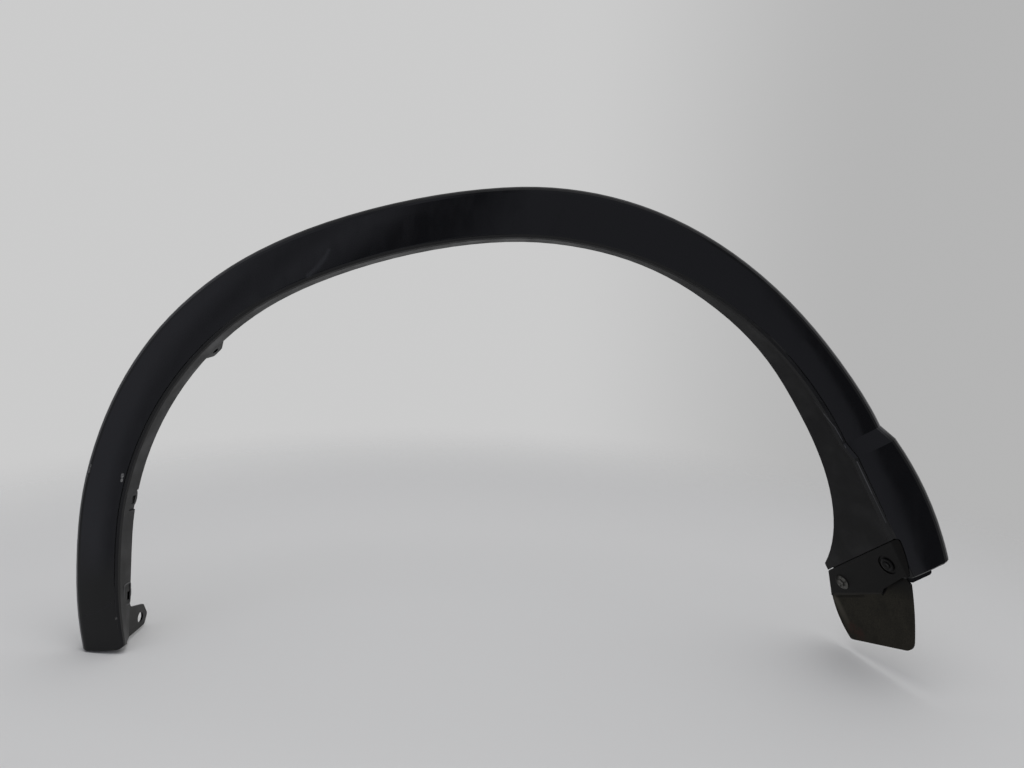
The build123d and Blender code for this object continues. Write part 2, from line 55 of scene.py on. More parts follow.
BLACK: Colour = (0.0, 0.0, 0.0)
MM = 1e-3
FULL_TURN = 2.0 * np.pi
HEX_STEP = np.pi / 3.0
SHARP_ANGLE = 0.7

# Directions in the plane of the flap's panel, and the places of its two fasteners, in metres.
PANEL_DOWN: Point = (0.477159, 0.0, -0.878817)
PANEL_OUT: Point = (0.343381, -0.920505, 0.186441)
SCREW_CENTRE: Point = (0.875568, 0.0415986, 0.081275)
RIVET_CENTRE: Point = (0.891401, -0.041523, 0.126057)


class Sum(Enum):
    """Arithmetic that a Math node does."""

    ADD = "ADD"
    SUBTRACT = "SUBTRACT"
    MULTIPLY = "MULTIPLY"
    MAXIMUM = "MAXIMUM"


class Join(Enum):
    """What a Vector Math node makes of two vectors."""

    SUBTRACT = "SUBTRACT"
    DOT_PRODUCT = "DOT_PRODUCT"
    DISTANCE = "DISTANCE"


@dataclass(frozen=True)
class Band:
    """A smooth step: start up to low, end from high on."""

    low: float
    high: float
    start: float = 0.0
    end: float = 1.0


@dataclass(frozen=True)
class Cloud:
    """Cloudy noise: clouds per metre, octaves, and how strong the finer octaves are."""

    scale: float
    detail: float = 3.0
    rough: float = 0.55


@dataclass(frozen=True)
class Relief:
    """Bumps: the height of a full step in metres, and how much of it counts."""

    depth: float
    strength: float


@dataclass(frozen=True)
class Stroke:
    """A straight mark, full up to its inner distance and gone at its outer one, in metres."""

    start: Point
    end: Point
    inner: float
    outer: float
    share: float = 1.0


class NodeBoard:
    """Node tree of one material or world, with short ways to add and join nodes."""

    def __init__(self, tree: bpy.types.NodeTree) -> None:
        """Take over a node tree and empty it.

        Args:
            tree: The tree to fill.
        """
        self.tree = tree
        tree.nodes.clear()

    def add(self, kind: str, **settings: object) -> bpy.types.Node:
        """Add one node.

        Args:
            kind: The node's type name.
            settings: Attributes of the node to set.

        Returns:
            The new node.
        """
        node = self.tree.nodes.new(kind)
        for name, value in settings.items():
            setattr(node, name, value)
        return node

    def feed(self, socket: Socket, value: object) -> None:
        """Link a socket to an output, or set its own value.

        Args:
            socket: The input to fill.
            value: An output socket, a number, or a colour or vector.
        """
        if isinstance(value, Socket):
            self.tree.links.new(value, socket)
        else:
            socket.default_value = value

    def object_place(self) -> Socket:
        """Object coordinates."""
        return self.add("ShaderNodeTexCoord").outputs["Object"]

    def normal(self) -> Socket:
        """The surface's normal."""
        return self.add("ShaderNodeNewGeometry").outputs["Normal"]

    def split(self, vector: Socket) -> dict[str, Socket]:
        """Take a vector apart.

        Args:
            vector: The vector.

        Returns:
            Its parts, named X, Y and Z.
        """
        node = self.add("ShaderNodeSeparateXYZ")
        self.feed(node.inputs[0], vector)
        return {axis: node.outputs[axis] for axis in "XYZ"}

    def sum(self, kind: Sum, first: object, second: object) -> Socket:
        """Join two numbers by arithmetic.

        Args:
            kind: The arithmetic to do.
            first: Left number or output.
            second: Right number or output.

        Returns:
            The result's socket.
        """
        node = self.add("ShaderNodeMath", operation=kind.value)
        self.feed(node.inputs[0], first)
        self.feed(node.inputs[1], second)
        return node.outputs[0]

    def product(self, first: object, *others: object) -> Socket:
        """Multiply numbers.

        Args:
            first: Number or output.
            others: The numbers or outputs to multiply it by.

        Returns:
            The product's socket.
        """
        for other in others:
            first = self.sum(Sum.MULTIPLY, first, other)
        return first

    def join(self, kind: Join, first: object, second: object) -> Socket:
        """Join two vectors.

        Args:
            kind: What to make of them.
            first: Vector or output.
            second: Vector or output.

        Returns:
            The result's socket, a vector for a difference and otherwise a number.
        """
        node = self.add("ShaderNodeVectorMath", operation=kind.value)
        self.feed(node.inputs[0], first)
        self.feed(node.inputs[1], second)
        return node.outputs["Vector" if kind is Join.SUBTRACT else "Value"]

    def scale(self, vector: object, factor: Socket) -> Socket:
        """Multiply a vector by a number.

        Args:
            vector: Vector or output.
            factor: The number's socket.

        Returns:
            The scaled vector's socket.
        """
        node = self.add("ShaderNodeVectorMath", operation="SCALE")
        self.feed(node.inputs[0], vector)
        self.feed(node.inputs["Scale"], factor)
        return node.outputs["Vector"]

    def ease(self, value: Socket, band: Band) -> Socket:
        """Smooth step of a number from one range into another.

        Args:
            value: The number to map.
            band: The step.

        Returns:
            The mapped number's socket.
        """
        node = self.add("ShaderNodeMapRange", interpolation_type="SMOOTHSTEP")
        parts = (value, band.low, band.high, band.start, band.end)
        for index, part in enumerate(parts):
            self.feed(node.inputs[index], part)
        return node.outputs[0]

    def blend(self, share: Socket, first: object, second: object) -> Socket:
        """Mix two colours.

        Args:
            share: How much of the second colour shows, 0 to 1.
            first: Colour or output.
            second: Colour or output.

        Returns:
            The mixed colour's socket.
        """
        node = self.add("ShaderNodeMix", data_type="RGBA")
        self.feed(node.inputs[0], share)
        for socket, value in ((node.inputs[6], first), (node.inputs[7], second)):
            self.feed(socket, (*value, 1.0) if isinstance(value, tuple) else value)
        return node.outputs[2]

    def level(self, share: Socket, first: Socket, second: Socket) -> Socket:
        """Mix two numbers.

        Args:
            share: How much of the second number counts, 0 to 1.
            first: The first number.
            second: The second number.

        Returns:
            The mixed number's socket.
        """
        node = self.add("ShaderNodeMix", data_type="FLOAT")
        for index, value in ((0, share), (2, first), (3, second)):
            self.feed(node.inputs[index], value)
        return node.outputs[0]

    def grey(self, value: Socket) -> Socket:
        """Make a grey.

        Args:
            value: Its brightness.

        Returns:
            The colour's socket.
        """
        node = self.add("ShaderNodeCombineColor")
        for socket in node.inputs[:3]:
            self.feed(socket, value)
        return node.outputs[0]

    def noise(self, where: Socket, cloud: Cloud) -> Socket:
        """Cloudy noise in space.

        Args:
            where: Coordinates.
            cloud: Kind of noise.

        Returns:
            The noise value's socket, about 0.3 to 0.7.
        """
        node = self.add("ShaderNodeTexNoise")
        self.feed(node.inputs["Vector"], where)
        self.feed(node.inputs["Scale"], cloud.scale)
        self.feed(node.inputs["Detail"], cloud.detail)
        self.feed(node.inputs["Roughness"], cloud.rough)
        return node.outputs["Fac"]

    def stretch(self, where: Socket, scale: Point) -> Socket:
        """Stretch coordinates.

        Args:
            where: Coordinates.
            scale: Factor along each axis.

        Returns:
            The mapped coordinates' socket.
        """
        node = self.add("ShaderNodeMapping")
        self.feed(node.inputs["Vector"], where)
        self.feed(node.inputs["Scale"], scale)
        return node.outputs[0]

    def near_line(self, where: Socket, stroke: Stroke) -> Socket:
        """How close a spot lies to a straight mark, from the distance to its nearest point.

        Args:
            where: Coordinates.
            stroke: The mark.

        Returns:
            Socket of a number, the mark's share on it and 0 away from it.
        """
        way = np.subtract(stroke.end, stroke.start)
        arm = self.join(Join.SUBTRACT, where, stroke.start)
        held = self.add("ShaderNodeClamp")
        self.feed(held.inputs[0], self.join(Join.DOT_PRODUCT, arm, tuple(way / (way @ way))))
        gap = self.join(Join.DISTANCE, arm, self.scale(tuple(way), held.outputs[0]))
        near = self.ease(gap, Band(stroke.inner, stroke.outer, 1.0, 0.0))
        return self.product(near, stroke.share)

    def bump(self, height: Socket, relief: Relief) -> Socket:
        """Bumped normal from a height.

        Args:
            height: The height's socket.
            relief: How high the bumps are.

        Returns:
            The normal's socket.
        """
        node = self.add("ShaderNodeBump")
        self.feed(node.inputs["Strength"], relief.strength)
        self.feed(node.inputs["Distance"], relief.depth)
        self.feed(node.inputs["Height"], height)
        return node.outputs[0]


def new_material(name: str) -> tuple[bpy.types.Material, NodeBoard, bpy.types.Node]:
    """Start a material with one surface shader.

    Args:
        name: The material's name.

    Returns:
        The material, its board and its surface shader.
    """
    material = bpy.data.materials.new(name)
    material.use_nodes = True
    board = NodeBoard(material.node_tree)
    shader = board.add("ShaderNodeBsdfPrincipled")
    output = board.add("ShaderNodeOutputMaterial")
    board.feed(output.inputs["Surface"], shader.outputs[0])
    return material, board, shader


@dataclass(frozen=True)
class Mark:
    """A straight mark on the moulding, a chip, scratch, scuff or painted highlight, in metres."""

    start: Point
    end: Point
    half_width: float
    share: float = 1.0


@dataclass(frozen=True)
class TrimFinish:
    """Black moulding: polished on the face, dull and dusty on the flange and behind, with painted
    highlights on the outer edge and the bead's crest and painted shade on the flange towards the
    rear.
    """

    face_colour: Colour = (0.0042, 0.0043, 0.005)
    flange_colour: Colour = (0.0095, 0.0095, 0.0102)
    dust_colour: Colour = (0.03, 0.029, 0.027)
    back_colour: Colour = (0.052, 0.052, 0.053)
    chip_colour: Colour = (0.3, 0.3, 0.29)
    scuff_colour: Colour = (0.035, 0.036, 0.04)
    # The next two colours are painted highlights: on the outer edge, and along the bead's crest.
    rim_highlight_colour: Colour = (0.055, 0.055, 0.059)
    crest_highlight_colour: Colour = (0.13, 0.13, 0.138)
    specular: float = 0.3

    # Polish lies on surfaces turned forward or away from the arch's centre; the back is paler.
    arch_centre: Point = (0.45, 0.0, 0.1)
    face_turn: Band = Band(0.4, 0.75)
    rim_turn: Band = Band(0.0, 0.08)
    rim_front: Band = Band(-0.1, 0.05)
    back_turn: Band = Band(0.3, 0.7, 0.0, 0.85)

    # Dust on the flange, thicker low down, and painted shade darkening the flange behind the crown.
    clouds: Cloud = Cloud(28.0)
    grain: Cloud = Cloud(900.0, 2.0)
    cloud_dust: Band = Band(0.45, 0.75)
    grain_dust: Band = Band(0.35, 0.7)
    dust_share: float = 0.55
    low_dust: Band = Band(0.03, 0.2, 0.35, 0.0)
    rear_reach: Band = Band(0.38, 0.8)
    rear_painted_shade: float = 0.45
    rear_rough: float = 0.28

    # Painted highlight along the outer rounded edge, standing in for the walls' reflection: on the
    # leg, the rear, and just above the block.
    wipes: Cloud = Cloud(60.0, 4.0)
    streak_stretch: Point = (1.0, 1.0, 0.35)
    edge_turn: Band = Band(0.82, 0.93, 1.0, 0.0)
    edge_streaks: Band = Band(0.3, 0.6, 0.6, 1.0)
    leg_highlight: Band = Band(0.02, 0.25, 1.0, 0.12)
    rear_highlight: Band = Band(0.6, 0.8, 0.0, 0.35)
    above_block: Band = Band(0.83, 0.865, 0.0, 0.5)
    off_block: Band = Band(0.869, 0.878, 1.0, 0.0)

    polish: Band = Band(0.35, 0.7, 0.1, 0.19)
    dullness: Band = Band(0.3, 0.7, 0.4, 0.58)
    texture: Cloud = Cloud(1600.0, 2.0)
    flange_texture: float = 0.9
    face_texture: float = 0.02
    relief: Relief = Relief(0.00012, 0.5)

    mark_core: float = 0.4
    chip_spread: float = 1.8
    scratch_spread: float = 2.0
    scuff_spread: float = 3.0
    crest_spread: float = 2.2
    scuff_share: float = 0.5
    scratch_depth: float = 4.0
    mark_rough: float = 0.35
    ragged: Cloud = Cloud(1400.0, 3.0)
    ragged_step: Band = Band(0.42, 0.52)
    chips: tuple[Mark, ...] = (
        Mark((0.0011, -0.058, 0.1862), (0.0008, -0.058, 0.1836), 0.0012),
        Mark((0.0006, -0.058, 0.1806), (0.0, -0.058, 0.1786), 0.001),
        Mark((-0.0372, -0.0575, 0.195), (-0.0392, -0.0575, 0.1868), 0.0009, 0.8),
        Mark((-0.0402, -0.0575, 0.183), (-0.0421, -0.0575, 0.1752), 0.0006, 0.6),
        Mark((-0.0006, -0.058, 0.018), (-0.0007, -0.058, 0.0172), 0.001, 0.35),
    )
    scratches: tuple[Mark, ...] = (
        Mark((-0.0384, -0.058, 0.0185), (-0.0215, -0.058, 0.0255), 0.0005),
        Mark((-0.0215, -0.058, 0.0255), (-0.0073, -0.058, 0.0355), 0.0005),
    )
    scuffs: tuple[Mark, ...] = (
        Mark((0.2288, -0.058, 0.456), (0.2245, -0.058, 0.447), 0.0012),
        Mark((0.2245, -0.058, 0.447), (0.217, -0.058, 0.4365), 0.0016),
        Mark((0.217, -0.058, 0.4365), (0.2061, -0.058, 0.426), 0.0014),
    )
    # Painted highlights along the bead's crest behind the crown.
    crest_highlights: tuple[Mark, ...] = (
        Mark((0.7918, -0.0529, 0.3115), (0.8022, -0.0548, 0.2984), 0.0003, 0.15),
        Mark((0.8022, -0.0548, 0.2984), (0.8144, -0.0571, 0.2844), 0.0004, 0.4),
        Mark((0.8144, -0.0571, 0.2844), (0.8222, -0.0573, 0.2723), 0.0004, 0.45),
        Mark((0.8222, -0.0573, 0.2723), (0.8278, -0.0587, 0.2615), 0.0004, 0.35),
        Mark((0.8391, -0.0642, 0.247), (0.8583, -0.0642, 0.2119), 0.0004, 0.5),
        Mark((0.8583, -0.0642, 0.2119), (0.8762, -0.0643, 0.1795), 0.0003, 0.3),
    )

    def build(self) -> bpy.types.Material:
        """Make the material.

        Returns:
            The finished material.
        """
        material, board, shader = new_material("trim_black")
        where, normal = board.object_place(), board.normal()
        along = board.split(where)["X"]
        forward = board.product(board.split(normal)["Y"], -1.0)
        arm = board.join(Join.SUBTRACT, where, self.arch_centre)
        outward = board.join(Join.DOT_PRODUCT, arm, normal)
        rim = board.product(board.ease(outward, self.rim_turn), board.ease(forward, self.rim_front))
        face = board.sum(Sum.MAXIMUM, board.ease(forward, self.face_turn), rim)
        clouds = board.noise(where, self.clouds)
        streaky = board.noise(board.stretch(where, self.streak_stretch), self.wipes)
        rear = board.ease(along, self.rear_reach)

        scuffed = self.marked(board, where, self.scuffs, self.scuff_spread)
        scuffed = board.product(scuffed, face, self.scuff_share)
        scratched = self.marked(board, where, self.scratches, self.scratch_spread)
        scratched = board.product(scratched, face)
        ragged = board.ease(board.noise(where, self.ragged), self.ragged_step)
        chipped = self.marked(board, where, self.chips, self.chip_spread)
        chipped = board.product(chipped, ragged, face)
        # Painted highlight along the bead's crest.
        crest_highlight = self.marked(board, where, self.crest_highlights, self.crest_spread)

        dull = self.dull_colour(board, where, normal, clouds, rear)
        colour = board.blend(face, dull, self.face_colour)
        # Painted highlight along the outer rounded edge.
        rim_highlight = self.rim_highlight(board, along, forward, rim, streaky)
        colour = board.blend(rim_highlight, colour, self.rim_highlight_colour)
        colour = board.blend(scuffed, colour, self.scuff_colour)
        colour = board.blend(chipped, colour, self.chip_colour)
        colour = board.blend(crest_highlight, colour, self.crest_highlight_colour)
        board.feed(shader.inputs["Base Color"], colour)
        board.feed(shader.inputs["Specular IOR Level"], self.specular)

        rough = board.ease(clouds, self.dullness)
        rough = board.sum(Sum.ADD, rough, board.product(rear, self.rear_rough))
        rough = board.level(face, rough, board.ease(streaky, self.polish))
        marks = board.sum(Sum.MAXIMUM, scuffed, board.sum(Sum.MAXIMUM, scratched, chipped))
        rough = board.sum(Sum.ADD, rough, board.product(marks, self.mark_rough))
        board.feed(shader.inputs["Roughness"], rough)

        plain = board.product(board.sum(Sum.SUBTRACT, 1.0, face), self.flange_texture)
        plain = board.sum(Sum.ADD, plain, self.face_texture)
        height = board.product(board.noise(where, self.texture), plain)
        height = board.sum(Sum.SUBTRACT, height, board.product(scratched, self.scratch_depth))
        board.feed(shader.inputs["Normal"], board.bump(height, self.relief))
        return material

    def dull_colour(
        self, board: NodeBoard, where: Socket, normal: Socket, clouds: Socket, rear: Socket
    ) -> Socket:
        """Colour of the flange and the back.

        Args:
            board: The material's board.
            where: Object coordinates.
            normal: The surface's normal.
            clouds: Soft noise.
            rear: How far behind the crown a spot lies, 0 to 1.

        Returns:
            The colour's socket.
        """
        grain = board.noise(where, self.grain)
        dust = board.product(
            board.ease(clouds, self.cloud_dust), board.ease(grain, self.grain_dust), self.dust_share
        )
        low = board.ease(board.split(where)["Z"], self.low_dust)
        dull = board.blend(board.sum(Sum.ADD, dust, low), self.flange_colour, self.dust_colour)
        # Painted shade: the flange turns darker towards the rear.
        dull = board.blend(board.product(rear, self.rear_painted_shade), dull, BLACK)
        back = board.ease(board.split(normal)["Y"], self.back_turn)
        return board.blend(back, dull, self.back_colour)

    def rim_highlight(
        self, board: NodeBoard, along: Socket, forward: Socket, rim: Socket, streaky: Socket
    ) -> Socket:
        """Mask of the painted highlight on the outer edge.

        Args:
            board: The material's board.
            along: Place from front to rear.
            forward: How far the surface is turned forward.
            rim: Mask of the outer edge.
            streaky: Streaky noise.

        Returns:
            Socket of a number, 1 where the painted highlight is strongest.
        """
        behind = board.ease(along, self.rear_highlight)
        behind = board.sum(Sum.ADD, behind, board.ease(along, self.above_block))
        behind = board.product(behind, board.ease(along, self.off_block))
        highlight_along = board.sum(Sum.MAXIMUM, board.ease(along, self.leg_highlight), behind)
        edge = board.product(rim, board.ease(forward, self.edge_turn))
        return board.product(edge, highlight_along, board.ease(streaky, self.edge_streaks))

    def marked(
        self, board: NodeBoard, where: Socket, marks: tuple[Mark, ...], spread: float
    ) -> Socket:
        """Mask of a group of marks.

        Args:
            board: The material's board.
            where: Object coordinates.
            marks: The marks to join.
            spread: Outer edge of a mark as a multiple of its half width.

        Returns:
            Socket of a number, 1 on a mark.
        """
        mask: object = 0.0
        for mark in marks:
            inner, outer = mark.half_width * self.mark_core, mark.half_width * spread
            stroke = Stroke(mark.start, mark.end, inner, outer, mark.share)
            mask = board.sum(Sum.MAXIMUM, mask, board.near_line(where, stroke))
        return mask


@dataclass(frozen=True)
class FlapFinish:
    """Matt flap plastic with road dirt on the blade, painted highlights on the inboard lip and the
    fold, and painted shade below the fold.
    """

    colour: Colour = (0.003, 0.003, 0.0031)
    dirt_colour: Colour = (0.032, 0.0292, 0.0222)
    # The pale colour below paints the highlights along the inboard lip and the fold.
    dust_colour: Colour = (0.075, 0.069, 0.056)
    rust_colour: Colour = (0.034, 0.019, 0.015)
    specular: float = 0.11

    # Dirt lies on the steep blade and thinly on the panel, thinning towards the ear's top as
    # painted shade under the panel's corner.
    blade_slope: Band = Band(0.24, 0.36, 1.0, 0.0)
    ear_shade_fade: Band = Band(0.083, 0.108, 1.0, 0.1)
    clouds: Cloud = Cloud(45.0, 5.0, 0.62)
    specks: Cloud = Cloud(700.0, 2.0)
    cloud_dirt: Band = Band(0.2, 0.66, 0.6, 1.0)
    speck_dirt: Band = Band(0.25, 0.6, 0.45, 1.0)
    blade_dirt: float = 0.85
    panel_dirt: float = 0.07

    # A painted highlight along the inboard lip, a reddish patch of rust, a painted highlight along
    # the fold, and painted shade under the fold and in the relief's corner.
    inboard_highlight: Stroke = Stroke((0.8791, 0.0652, 0.0523), (0.892, 0.0471, 0.0225), 0.001, 0.008)
    inboard_highlight_height: Band = Band(0.02, 0.05, 0.25, 0.75)
    rust: Stroke = Stroke((0.8932, 0.043, 0.0225), (0.8975, 0.031, 0.0195), 0.003, 0.012, 0.8)
    rust_clouds: Cloud = Cloud(160.0, 4.0)
    rust_step: Band = Band(0.36, 0.58)
    fold_highlight: Stroke = Stroke((0.8769, 0.064, 0.059), (0.901, -0.0136, 0.0842), 0.0004, 0.003, 0.18)
    shade: Stroke = Stroke((0.8789, 0.0638, 0.0561), (0.8932, 0.0165, 0.072), 0.0002, 0.0024, 0.5)
    corner_shade: Stroke = Stroke((0.9017, -0.0132, 0.084), (0.9023, -0.0197, 0.0932), 0.0008, 0.003)

    dullness: Band = Band(0.0, 0.6, 0.5, 0.8)
    speck_height: float = 0.6
    cloud_height: float = 0.4
    relief: Relief = Relief(0.00015, 0.5)

    def build(self) -> bpy.types.Material:
        """Make the material.

        Returns:
            The finished material.
        """
        material, board, shader = new_material("flap_black")
        where = board.object_place()
        height = board.split(where)["Z"]
        upward = board.split(board.normal())["Z"]
        slope = board.sum(Sum.MAXIMUM, upward, board.product(upward, -1.0))
        # The ear's fade takes dirt off the blade's top, as painted shade.
        blade = board.product(
            board.ease(slope, self.blade_slope),
            board.ease(height, self.ear_shade_fade),
            self.blade_dirt,
        )
        clouds, specks = board.noise(where, self.clouds), board.noise(where, self.specks)
        dirt = board.product(
            board.ease(clouds, self.cloud_dirt),
            board.ease(specks, self.speck_dirt),
            board.sum(Sum.ADD, blade, self.panel_dirt),
        )
        colour = board.blend(dirt, self.colour, self.dirt_colour)

        # Painted highlight along the inboard lip.
        inboard_highlight = board.product(
            board.near_line(where, self.inboard_highlight), board.ease(height, self.inboard_highlight_height)
        )
        colour = board.blend(inboard_highlight, colour, self.dust_colour)
        rusty = board.ease(board.noise(where, self.rust_clouds), self.rust_step)
        rust = board.product(board.near_line(where, self.rust), rusty)
        colour = board.blend(rust, colour, self.rust_colour)
        # Painted highlight along the fold.
        colour = board.blend(board.near_line(where, self.fold_highlight), colour, self.dust_colour)
        # Painted shade under the fold and in the relief's corner, in the flap's own dark colour.
        shade, corner_shade = board.near_line(where, self.shade), board.near_line(where, self.corner_shade)
        colour = board.blend(board.sum(Sum.MAXIMUM, shade, corner_shade), colour, self.colour)

        board.feed(shader.inputs["Base Color"], colour)
        board.feed(shader.inputs["Specular IOR Level"], self.specular)
        board.feed(shader.inputs["Roughness"], board.ease(dirt, self.dullness))
        bumps = board.sum(
            Sum.ADD,
            board.product(specks, self.speck_height),
            board.product(clouds, self.cloud_height),
        )
        board.feed(shader.inputs["Normal"], board.bump(bumps, self.relief))
        return material


@dataclass(frozen=True)
class ScrewFinish:
    """Plated steel gone dull, with dirt in patches and painted shade darkening its inboard side."""

    colour: Colour = (0.115, 0.113, 0.105)
    dirt_colour: Colour = (0.011, 0.0105, 0.009)
    specular: float = 0.12
    patches: Cloud = Cloud(260.0, 4.0)
    patch_step: Band = Band(0.44, 0.72, 0.0, 0.85)
    shaded_side: Point = (-0.538, 0.793, 0.285)
    shade_reach: Band = Band(0.0005, 0.0065)
    metal: Band = Band(0.0, 1.0, 0.85, 0.0)
    dullness: Band = Band(0.0, 1.0, 0.38, 0.7)
    pits: Cloud = Cloud(900.0)
    relief: Relief = Relief(0.0001, 0.4)

    def build(self) -> bpy.types.Material:
        """Make the material.

        Returns:
            The finished material.
        """
        material, board, shader = new_material("screw_steel")
        where = board.object_place()
        patches = board.ease(board.noise(where, self.patches), self.patch_step)
        # Painted shade darkens the screw's inboard side; it joins the dirt patches in one mask.
        arm = board.join(Join.SUBTRACT, where, SCREW_CENTRE)
        side = board.join(Join.DOT_PRODUCT, arm, self.shaded_side)
        dirt = board.sum(Sum.MAXIMUM, patches, board.ease(side, self.shade_reach))
        colour = board.blend(dirt, self.colour, self.dirt_colour)
        board.feed(shader.inputs["Base Color"], colour)
        board.feed(shader.inputs["Specular IOR Level"], self.specular)
        board.feed(shader.inputs["Metallic"], board.ease(dirt, self.metal))
        board.feed(shader.inputs["Roughness"], board.ease(dirt, self.dullness))
        pits = board.noise(where, self.pits)
        board.feed(shader.inputs["Normal"], board.bump(pits, self.relief))
        return material


@dataclass(frozen=True)
class DustyFinish:
    """Dark plastic or spring steel under a little dust."""

    name: str
    colour: Colour
    dust_colour: Colour
    clouds: Cloud
    dust: Band
    dullness: Band
    pits: Cloud
    specular: float
    relief: Relief = Relief(0.00008, 0.4)

    def build(self) -> bpy.types.Material:
        """Make the material.

        Returns:
            The finished material.
        """
        material, board, shader = new_material(self.name)
        where = board.object_place()
        dust = board.ease(board.noise(where, self.clouds), self.dust)
        colour = board.blend(dust, self.colour, self.dust_colour)
        board.feed(shader.inputs["Base Color"], colour)
        board.feed(shader.inputs["Specular IOR Level"], self.specular)
        board.feed(shader.inputs["Roughness"], board.ease(dust, self.dullness))
        pits = board.noise(where, self.pits)
        board.feed(shader.inputs["Normal"], board.bump(pits, self.relief))
        return material


@dataclass(frozen=True)
class RivetFinish(DustyFinish):
    """Dark nylon of the push rivet."""

    name: str = "rivet_black"
    colour: Colour = (0.0024, 0.0024, 0.0025)
    dust_colour: Colour = (0.009, 0.0088, 0.008)
    clouds: Cloud = Cloud(240.0, 4.0)
    dust: Band = Band(0.5, 0.75, 0.0, 0.5)
    dullness: Band = Band(0.0, 0.5, 0.34, 0.6)
    pits: Cloud = Cloud(1200.0)
    specular: float = 0.12


@dataclass(frozen=True)
class ClipFinish(DustyFinish):
    """Dark spring clips in the seats of the leg, and the rim round the lower seat, pale with dust
    and a painted highlight.
    """

    name: str = "clip_dark"
    colour: Colour = (0.006, 0.006, 0.0058)
    dust_colour: Colour = (0.03, 0.029, 0.026)
    clouds: Cloud = Cloud(300.0, 4.0)
    dust: Band = Band(0.45, 0.7, 0.0, 0.6)
    dullness: Band = Band(0.0, 0.6, 0.4, 0.65)
    pits: Cloud = Cloud(1100.0)
    specular: float = 0.5


@dataclass(frozen=True)
class StudioCamera:
    """Camera at the photograph's viewing angle, in the frame of the part."""

    place: Point = (0.458189, -0.955499, 0.344149)
    right: Point = (0.998539, 0.016243, 0.051538)
    up: Point = (-0.052046, 0.032564, 0.998114)
    back: Point = (0.014534, -0.999338, 0.033361)
    focal_px: float = 786.24
    image_width_px: float = 1024.0
    sensor_mm: float = 36.0
    nearest: float = 0.05
    farthest: float = 60.0

    def build(self) -> bpy.types.Object:
        """Make the camera and give it to the scene.

        Returns:
            The camera object.
        """
        data = bpy.data.cameras.new("camera")
        data.sensor_width = self.sensor_mm
        data.lens = self.sensor_mm * self.focal_px / self.image_width_px
        data.clip_start = self.nearest
        data.clip_end = self.farthest
        camera = bpy.data.objects.new("camera", data)
        turn = Matrix(np.column_stack([self.right, self.up, self.back]).tolist()).to_4x4()
        camera.matrix_world = Matrix.Translation(self.place) @ turn
        bpy.context.scene.collection.objects.link(camera)
        bpy.context.scene.camera = camera
        return camera


